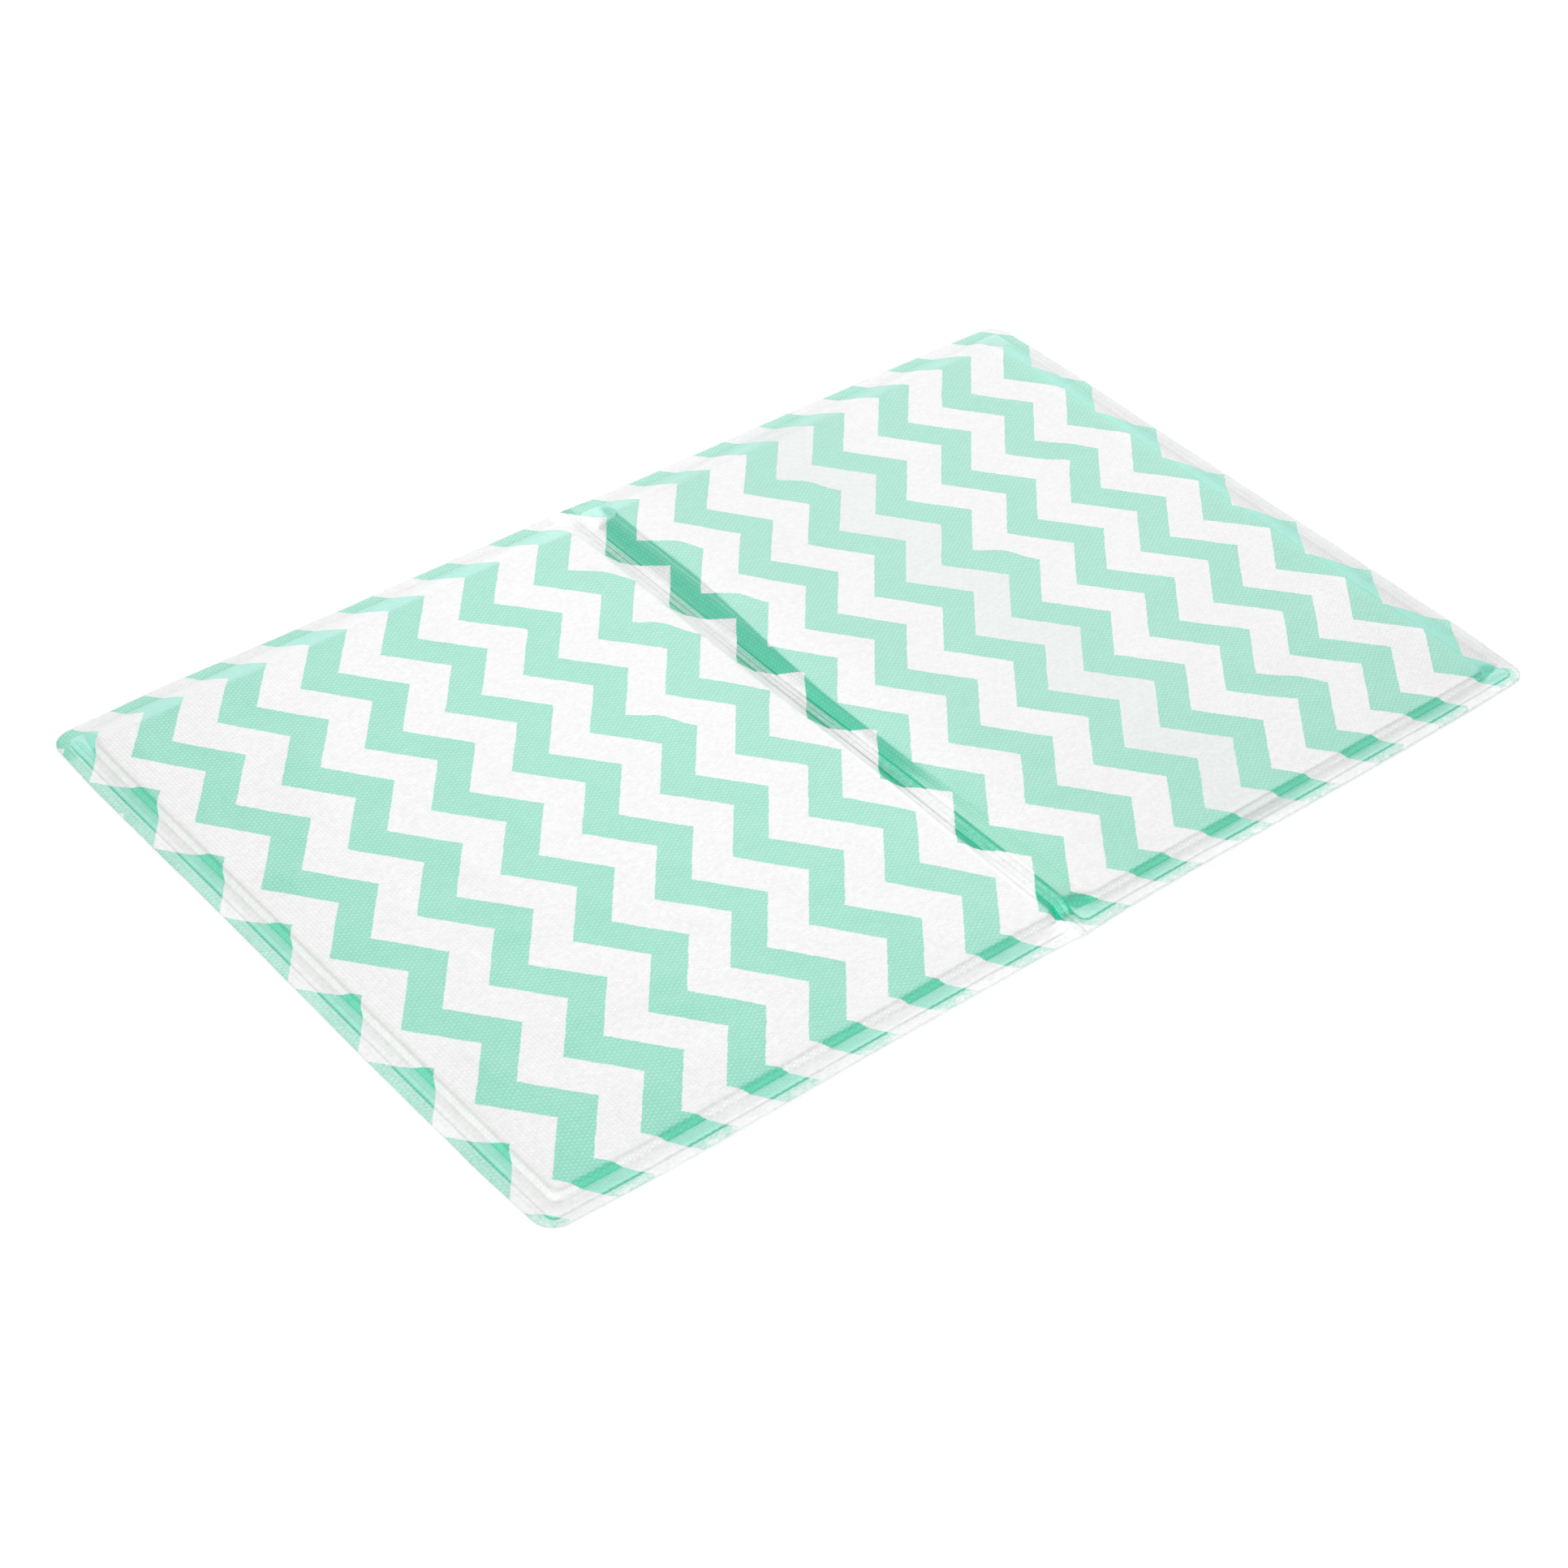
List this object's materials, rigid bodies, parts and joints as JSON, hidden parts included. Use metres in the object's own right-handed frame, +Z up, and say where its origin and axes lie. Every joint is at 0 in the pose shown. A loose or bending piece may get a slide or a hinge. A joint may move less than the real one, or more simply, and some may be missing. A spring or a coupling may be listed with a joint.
{
  "type": "two-panel folding gel mat",
  "caption": "Thin rectangular floor mat of two welded, gel-padded cells with a flat welded flange, joined by a flat web so that it folds like a book; zigzag print.",
  "frame": {"origin": "centre of the mat's footprint, on the floor, with the mat laid out flat", "axes": "+X along the long side from the left panel to the right panel, +Y along the fold, +Z up with the printed face on top"},
  "size_m": [0.61, 0.4, 0.01],
  "materials": {
    "printed_fabric": "satin",
    "backing_fabric": "matte",
    "liner_film": "satin",
    "gel": "gloss",
    "foam": "matte"
  },
  "bodies": {
    "left_panel": {"left_top_cover": "printed_fabric", "left_top_film": "liner_film", "left_gel_fill": "gel", "left_foam_core": "foam", "left_bottom_film": "liner_film", "left_bottom_cover": "backing_fabric"},
    "fold_web": {"web_top_cover": "printed_fabric", "web_weld": "liner_film", "web_bottom_cover": "backing_fabric"},
    "right_panel": {"right_top_cover": "printed_fabric", "right_top_film": "liner_film", "right_gel_fill": "gel", "right_foam_core": "foam", "right_bottom_film": "liner_film", "right_bottom_cover": "backing_fabric"}
  },
  "joints": [
    {"name": "fold_left", "type": "hinge", "parent": "left_panel", "child": "fold_web", "pos_m": [-0.0065, 0, 0.0037], "axis": [0, -1, 0], "range_deg": [-90, 90]},
    {"name": "fold_right", "type": "hinge", "parent": "fold_web", "child": "right_panel", "pos_m": [0.0065, 0, 0.0037], "axis": [0, -1, 0], "range_deg": [-90, 90]}
  ],
  "couplings": [
    {"joint": "fold_right", "follows": "fold_left", "ratio": 1}
  ]
}
